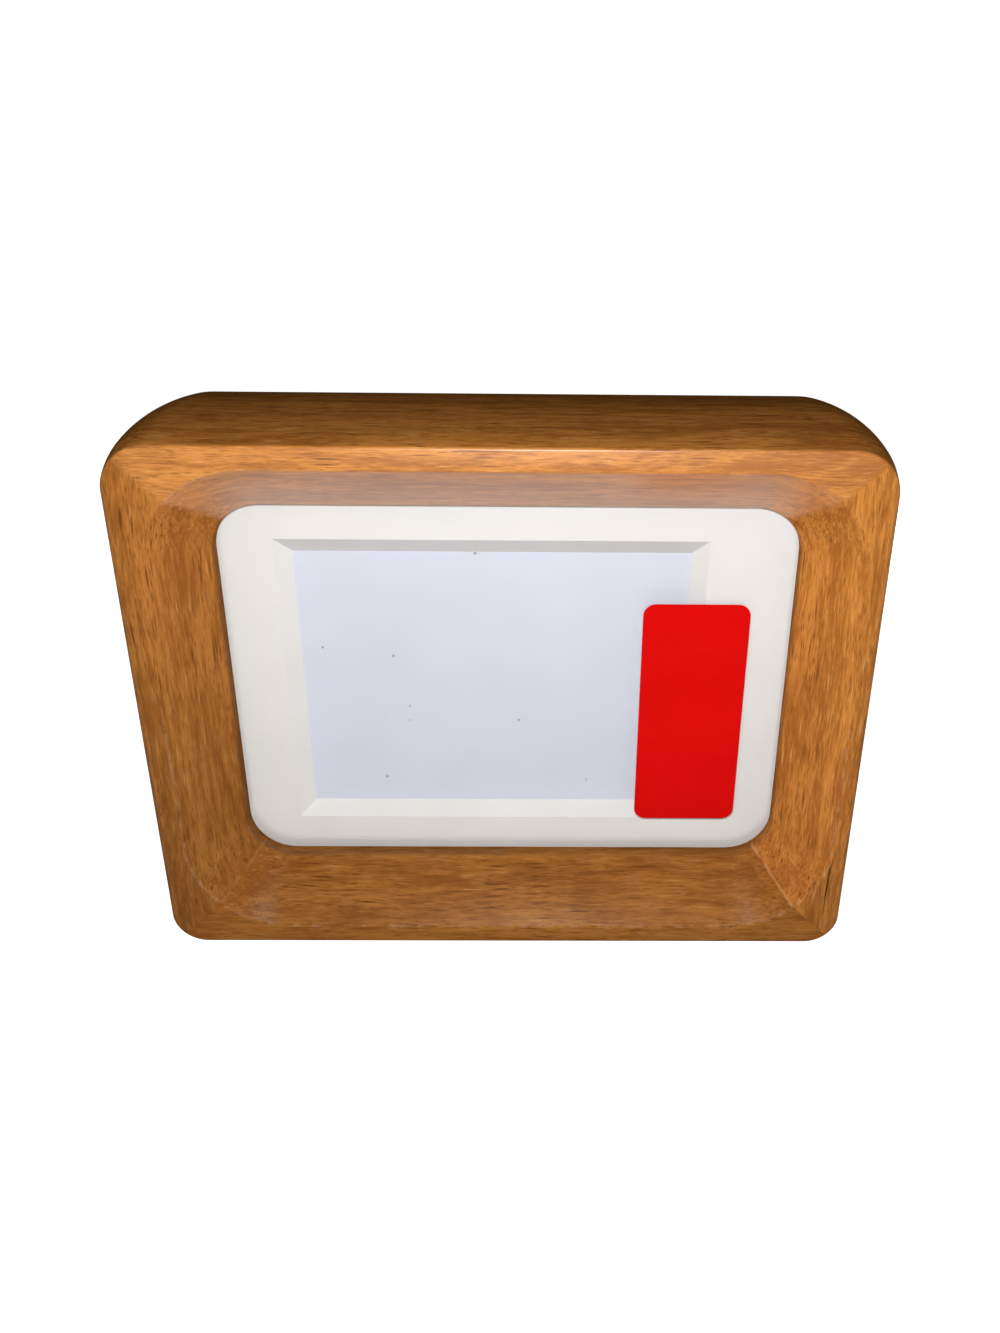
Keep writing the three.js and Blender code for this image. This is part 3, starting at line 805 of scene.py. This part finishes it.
def rail_section():
    """Outlines once round the section of the rails: pillowed rim, outside, back, rabbet, lip and dish."""
    pillow = []
    for step in range(PILLOW_STEPS):
        share = step / PILLOW_STEPS
        depth = FRONT_PILLOW_DEPTH * share ** FRONT_PILLOW_POWER
        pillow.append((depth, FRONT_PILLOW_WIDTH * (1 - share)))
    for depth, inset in pillow:
        yield block_outline(depth, inset)
    for depth, inset in eased(pillow[-1], (FRONT_PILLOW_DEPTH, 0), (FRAME_DEPTH, 0), FRONT_EDGE_EASE):
        yield block_outline(depth, inset)
    start = FRONT_PILLOW_DEPTH + FRONT_EDGE_EASE
    length = FRAME_DEPTH - start - BACK_EDGE_RADIUS
    for step in range(1, SWELL_STEPS + 1):
        yield block_outline(start + length * step / SWELL_STEPS, 0)
    for step in reversed(range(EDGE_STEPS)):
        angle = pi / 2 * step / EDGE_STEPS
        depth = FRAME_DEPTH - BACK_EDGE_RADIUS * (1 - cos(angle))
        yield block_outline(depth, BACK_EDGE_RADIUS * (1 - sin(angle)))
    yield rabbet_outline(FRAME_DEPTH)
    yield rabbet_outline(RABBET_FRONT)
    yield sight_outline(0, RABBET_FRONT)
    rim = (SLOPE_WIDTH, 0)
    sight = (0, DISH_DEPTH)
    for outset, depth in eased((0, RABBET_FRONT), sight, rim, SIGHT_EASE):
        yield sight_outline(outset, depth)
    for outset, depth in eased(sight, rim, (2 * SLOPE_WIDTH, 0), RIM_EASE):
        yield sight_outline(outset, depth)


def mitred_rail(direction):
    """One side of the glued block, cut off at its two mitres and closed there."""
    bm, _ = ring_of(rail_section())
    along = Vector((abs(direction.z), 0, abs(direction.x)))
    for end in (-along, along):
        corner = direction + end
        on_mitre = Vector((corner.x * FRAME_WIDTH / 2, 0, CENTRE_Z + corner.z * FRAME_HEIGHT / 2))
        outward = (end - direction).normalized()
        bmesh.ops.bisect_plane(
            bm, geom=[*bm.verts, *bm.edges, *bm.faces], plane_co=on_mitre - outward * GLUE_LINE / 2,
            plane_no=outward, clear_outer=True,
        )
    bmesh.ops.holes_fill(bm, edges=[edge for edge in bm.edges if edge.is_boundary])
    return bm


def nail_shape(corner, margin, front, back):
    """A nail's V, grown all round by a margin, between two depths."""
    low, high = solid_box("corner_nail_" + corner)
    side_x, side_z = CORNERS[corner]
    bm = bmesh.new()
    near_x, far_x = (high.x, low.x) if side_x > 0 else (low.x, high.x)
    near_z, far_z = (high.z, low.z) if side_z > 0 else (low.z, high.z)
    grow_x, grow_z = side_x * margin, side_z * margin
    thick_x = near_x - side_x * NAIL_THICKNESS - grow_x
    thick_z = near_z - side_z * NAIL_THICKNESS - grow_z
    outline = [
        (near_x + grow_x, near_z + grow_z),
        (far_x - grow_x, near_z + grow_z),
        (far_x - grow_x, thick_z),
        (thick_x, thick_z),
        (thick_x, far_z - grow_z),
        (near_x + grow_x, far_z - grow_z),
    ]
    face = bm.faces.new([bm.verts.new((x, front, z)) for x, z in outline])
    thicken(bm, face, back - front)
    return bm


def make_rails(material):
    back = RAIL_FRONT + FRAME_DEPTH + CUT_MARGIN
    for name, (side_x, side_z) in SIDES.items():
        bm = mitred_rail(Vector((side_x, 0, side_z)))
        rail = show(name + "_wood", bm, [material], "frame", [name])
        for corner, (corner_x, corner_z) in CORNERS.items():
            if side_x * corner_x + side_z * corner_z > 0:
                front = solid_box("corner_nail_" + corner)[0].y - NAIL_CLEARANCE
                cut_out(rail, nail_shape(corner, NAIL_CLEARANCE, front, back))
                if side_z:
                    cut_out(rail, screw_hole(corner, back))


def screw_hole(corner, back):
    low, high = solid_box("button_screw_" + corner)
    middle = (low + high) / 2
    return rod(middle.x, middle.z, BUTTON_HOLE_RADIUS, low.y - SCREW_POINT_ROOM, back)


# Sheets in the rabbet
def make_sheet(name, node, arris, material):
    """A flat sheet with eased edges. Its faces are shaded flat, because normals that turn over the eased
    edges would bend the view through a clear one."""
    bm = bmesh.new()
    block(bm, *solid_box(node))
    ease_edges(bm, bm.edges[:], arris)
    sheet = show(name, bm, [material], "frame", [node])
    sheet.data.shade_flat()


def make_mat(surface, core, painted_shade_core):
    """Mat board with a window cut at a slant, so that its core shows as a pale bevel. The top bevel has
    painted shade.
    """
    low, high = solid_box("mat_board")
    middle = (low + high) / 2
    window_x = middle.x + WINDOW_SHIFT_X
    window_z = middle.z + WINDOW_SHIFT_Z
    front_width = WINDOW_WIDTH + 2 * WINDOW_SIDE_BEVEL
    front_height = WINDOW_HEIGHT + WINDOW_TOP_BEVEL + WINDOW_LOW_BEVEL
    front_z = window_z + (WINDOW_TOP_BEVEL - WINDOW_LOW_BEVEL) / 2
    outlines = [
        (front_width, front_height, 0, window_x, low.y, front_z),
        (WINDOW_WIDTH, WINDOW_HEIGHT, 0, window_x, high.y, window_z),
    ]
    for y in (high.y, low.y):
        outlines.append((high.x - low.x, high.z - low.z, 0, middle.x, y, middle.z))
    bm, strips = ring_of(outlines)
    materials = [surface, core, painted_shade_core]
    # The top bevel takes the core with painted shade
    for face in strips[0]:
        over_window = face.calc_center_median().z > window_z + WINDOW_HEIGHT / 2
        face.material_index = materials.index(painted_shade_core if over_window else core)
    show("bevelled_mat", bm, materials, "frame", ["mat_board"])


def make_tab(material):
    """A label on the film, a little wider than its solid and with tighter corners."""
    low, high = solid_box("peel_tab")
    middle = (low + high) / 2
    bm = bmesh.new()
    width = high.x - low.x + 2 * TAB_GROWTH
    face = outline_loop(bm, width, high.z - low.z, TAB_CORNER_RADIUS, middle.x, high.y, middle.z)
    front = thicken(bm, face, low.y - high.y)
    ease_edges(bm, list(front.edges), TAB_EDGE)
    tab = show("red_pull_tab", bm, [material], "frame", ["peel_tab"])
    tab.data.shade_flat()


def make_filler(node, material):
    """Corrugated card: two liners and a waved sheet between them."""
    low, high = solid_box(node)
    bm = bmesh.new()
    block(bm, low, Vector((high.x, low.y + LINER_THICKNESS, high.z)))
    block(bm, Vector((low.x, high.y - LINER_THICKNESS, low.z)), high)
    wave = (high.y - low.y) / 2 - FLUTE_INSET
    count = round((high.x - low.x) / FLUTE_PITCH) * FLUTE_STEPS
    width = high.x - low.x - LINER_THICKNESS
    line = []
    for step in range(count + 1):
        x = low.x + LINER_THICKNESS / 2 + width * step / count
        y = (low.y + high.y) / 2 + wave * cos(2 * pi * step / FLUTE_STEPS)
        line.append(bm.verts.new((x, y, low.z)))
    edges = [bm.edges.new(pair) for pair in zip(line, line[1:])]
    drawn = bmesh.ops.extrude_edge_only(bm, edges=edges)["geom"]
    raised = [item for item in drawn if isinstance(item, bmesh.types.BMVert)]
    bmesh.ops.translate(bm, verts=raised, vec=(0, 0, high.z - low.z))
    sheet = [item for item in drawn if isinstance(item, bmesh.types.BMFace)]
    bmesh.ops.solidify(bm, geom=sheet, thickness=LINER_THICKNESS)
    show("corrugated_" + node, bm, [material], "frame", [node])


def make_backing(material):
    """The backing board with a half-round finger notch in its top edge, and eased edges."""
    low, high = solid_box("backing_board")
    bm = bmesh.new()
    block(bm, low, high)
    board = show("fibre_backing", bm, [material], "frame", ["backing_board"])
    cut_out(board, rod(OPENING_X, high.z, NOTCH_RADIUS, low.y, high.y, CUT_MARGIN, NOTCH_STEPS))
    bm = bmesh.new()
    bm.from_mesh(board.data)
    sharp = [edge for edge in bm.edges if edge.calc_face_angle(0) > EASED_ANGLE]
    ease_edges(bm, sharp, BOARD_ARRIS)
    bm.to_mesh(board.data)
    bm.free()
    soften(board.data)


# Hardware
def make_nail(corner, material):
    low, high = solid_box("corner_nail_" + corner)
    bm = nail_shape(corner, 0, low.y, high.y)
    ease_edges(bm, bm.edges[:], NAIL_ARRIS)
    show("v_nail_" + corner, bm, [material], "frame", ["corner_nail_" + corner])


def make_button(corner, material):
    """A pressed turn button: eased edges, a raised rib towards its tip, and a hole for its screw."""
    node = "turn_button_" + corner
    low, high = solid_box(node)
    middle = (low + high) / 2
    width = high.x - low.x
    side_z = CORNERS[corner][1]
    pivot_z = high.z - width / 2 if side_z > 0 else low.z + width / 2
    bm = bmesh.new()
    face = outline_loop(bm, width, high.z - low.z, width / 2, middle.x, low.y, middle.z)
    top = thicken(bm, face, high.y - low.y)
    ease_edges(bm, list(top.edges), BUTTON_EDGE)
    bmesh.ops.recalc_face_normals(bm, faces=bm.faces)
    top = max(bm.faces, key=lambda one: one.calc_center_median().y * one.calc_area())
    bmesh.ops.bisect_plane(
        bm, geom=[top, *top.edges, *top.verts], plane_co=(0, 0, pivot_z - side_z * BUTTON_RIB_START),
        plane_no=(0, 0, 1),
    )
    flat = [one for one in bm.faces if min(vert.co.y for vert in one.verts) > high.y - SMALLEST]
    tip = max(flat, key=lambda one: abs(one.calc_center_median().z - pivot_z))
    bmesh.ops.inset_region(bm, faces=[tip], thickness=BUTTON_RIB_MARGIN, depth=0, use_even_offset=True)
    bmesh.ops.inset_region(
        bm, faces=[tip], thickness=BUTTON_RIB_HEIGHT, depth=BUTTON_RIB_HEIGHT, use_even_offset=True
    )
    button = show("pressed_" + node, bm, [material], "button_" + corner, [node])
    cut_out(button, rod(middle.x, pivot_z, BUTTON_HOLE_RADIUS, low.y, high.y, CUT_MARGIN))


def make_screw(corner, material):
    """A pan-head screw with a cross recess."""
    node = "button_screw_" + corner
    low, high = solid_box(node)
    x, z = (low.x + high.x) / 2, (low.z + high.z) / 2
    head = high.y - SCREW_HEAD_HEIGHT
    shoulder = SCREW_HEAD_HEIGHT - SCREW_HEAD_RIM
    section = [
        (0, low.y),
        (SCREW_SHANK_RADIUS, low.y + SCREW_POINT),
        (SCREW_SHANK_RADIUS, head),
        (SCREW_HEAD_RADIUS, head),
    ]
    for step in range(EDGE_STEPS + 1):
        angle = pi / 2 * step / EDGE_STEPS
        radius = SCREW_HEAD_RADIUS - shoulder * (1 - cos(angle))
        section.append((radius, head + SCREW_HEAD_RIM + shoulder * sin(angle)))
    section.append((0, high.y))
    bm = bmesh.new()
    line = [bm.verts.new((x + radius, y, z)) for radius, y in section]
    edges = [bm.edges.new(pair) for pair in zip(line, line[1:])]
    bmesh.ops.spin(
        bm, geom=[*line, *edges], cent=(x, 0, z), axis=(0, 1, 0), angle=2 * pi,
        steps=ROUND_STEPS, use_merge=True,
    )
    bmesh.ops.remove_doubles(bm, verts=bm.verts, dist=SMALLEST)
    screw = show("pan_screw_" + corner, bm, [material], "frame", [node])
    base = Vector((x, high.y - RECESS_DEPTH, z))
    upward = Vector((0, RECESS_DEPTH + CUT_MARGIN, 0))
    for size_x, size_z in ((RECESS_LENGTH, RECESS_WIDTH), (RECESS_WIDTH, RECESS_LENGTH)):
        half = Vector((size_x / 2, 0, size_z / 2))
        bar = bmesh.new()
        block(bar, base - half, base + half + upward)
        cut_out(screw, bar)


# Stage
def seen_rays(nodes):
    """1 for rays that show the background itself, in a mirror or through a clear sheet too."""
    path = nodes.add("LightPath").outputs
    seen = nodes.math("MAXIMUM", path["Is Camera Ray"], path["Is Glossy Ray"])
    return nodes.math("MAXIMUM", seen, path["Is Transmission Ray"])


def make_floor():
    bm = bmesh.new()
    bmesh.ops.create_grid(bm, x_segments=1, y_segments=1, size=FLOOR_SIZE / 2)
    floor = object_of("floor", bm)
    floor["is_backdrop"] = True
    material, nodes, inputs = new_material(
        "pale_floor", Base_Color=FLOOR_COLOR, Roughness=0.9, Emission_Color=WHITE
    )
    floor.data.materials.append(material)
    nodes.feed(inputs["Emission Strength"], nodes.times(seen_rays(nodes), FLOOR_GLOW))


def soft_lamp(name, place, target, size, power):
    lamp = bpy.data.lights.new(name, "AREA")
    lamp.shape = "ELLIPSE"
    lamp.size, lamp.size_y = size
    lamp.energy = power
    holder = bpy.data.objects.new(name, lamp)
    holder.location = place
    holder.rotation_euler = (target - place).to_track_quat("-Z", "Y").to_euler()
    holder.visible_camera = False
    bpy.context.scene.collection.objects.link(holder)


def make_camera():
    """The camera at the picture's viewpoint, whose place is given back. Its axis lies beside the middle of
    the picture."""
    ahead = Vector((
        sin(CAMERA_YAW) * cos(CAMERA_PITCH), cos(CAMERA_YAW) * cos(CAMERA_PITCH), -sin(CAMERA_PITCH)
    ))
    right = Vector((cos(CAMERA_YAW), -sin(CAMERA_YAW), 0))
    down = ahead.cross(right)
    across = cos(CAMERA_ROLL) * right + sin(CAMERA_ROLL) * down
    below = cos(CAMERA_ROLL) * down - sin(CAMERA_ROLL) * right
    place = (CAMERA_PLACE + Vector((0, RAIL_FRONT, CENTRE_Z))) * MM
    turn = Matrix((across, -below, -ahead)).transposed().to_4x4()
    data = bpy.data.cameras.new("camera")
    data.sensor_width = SENSOR_SIZE
    data.lens = FOCAL_PIXELS / PICTURE_HEIGHT * SENSOR_SIZE
    data.shift_x = (PICTURE_WIDTH / 2 - AXIS_PIXEL_X) / PICTURE_HEIGHT
    data.clip_start = CAMERA_NEAR * MM
    camera = bpy.data.objects.new("camera", data)
    camera.matrix_world = Matrix.Translation(place) @ turn
    bpy.context.scene.collection.objects.link(camera)
    bpy.context.scene.camera = camera
    return place


def make_world():
    """A faint room that looks white where it is seen, like the floor."""
    world = bpy.data.worlds.new("soft_room")
    world.use_nodes = True
    nodes = Nodes(world.node_tree)
    seen = seen_rays(nodes)
    background = world.node_tree.nodes["Background"].inputs
    nodes.feed(background["Color"], nodes.mix(seen, WORLD_COLOR, WHITE))
    nodes.feed(background["Strength"], nodes.blend(seen, WORLD_STRENGTH, 1.0))
    bpy.context.scene.world = world


pieces = []
hardwood = hardwood_group()
paper = paper_group()
metal = metal_group()

make_rails(wood_material(hardwood))

metals = {name: metal_material(name, metal, **values) for name, values in METALS.items()}
papers = {name: paper_material(name, paper, **values) for name, values in PAPERS.items()}
clears = {name: clear_material(name, **values) for name, values in CLEARS.items()}

make_tab(tab_material())
make_sheet("clear_peel_film", "protective_film", CARD_ARRIS, clears["clear_film"])
make_sheet("acrylic_glazing", "glazing_sheet", SHEET_ARRIS, clears["clear_acrylic"])
make_mat(papers["mat_surface"], papers["mat_core"], papers["painted_shade_core"])
make_sheet("print_card", "insert_card", CARD_ARRIS, papers["print_card"])
for layer in ("filler_card_front", "filler_card_middle", "filler_card_rear"):
    make_filler(layer, papers["kraft_card"])
make_backing(board_material())
for corner_name in CORNERS:
    make_nail(corner_name, metals["plain_steel"])
    make_button(corner_name, metals["zinc_plating"])
    make_screw(corner_name, metals["plain_steel"])
for piece in pieces:
    piece.data.transform(Matrix.Scale(MM, 4))

make_floor()
make_world()
viewpoint = make_camera()
frame_middle = Vector((0, 0, CENTRE_Z)) * MM
soft_lamp("key_lamp", viewpoint, frame_middle, KEY_SIZE, KEY_POWER)
soft_lamp("back_lamp", BACK_PLACE, frame_middle, BACK_SIZE, BACK_POWER)
soft_lamp("right_lamp", SIDE_PLACE, frame_middle, SIDE_SIZE, SIDE_POWER)
soft_lamp("left_lamp", SIDE_PLACE * TO_THE_LEFT, frame_middle, SIDE_SIZE, SIDE_POWER)
bpy.context.scene.view_settings.view_transform = "Standard"

boxes = {"cad": cad_box, "visual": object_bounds()}
{name: [list(corner) for corner in box] for name, box in boxes.items()}
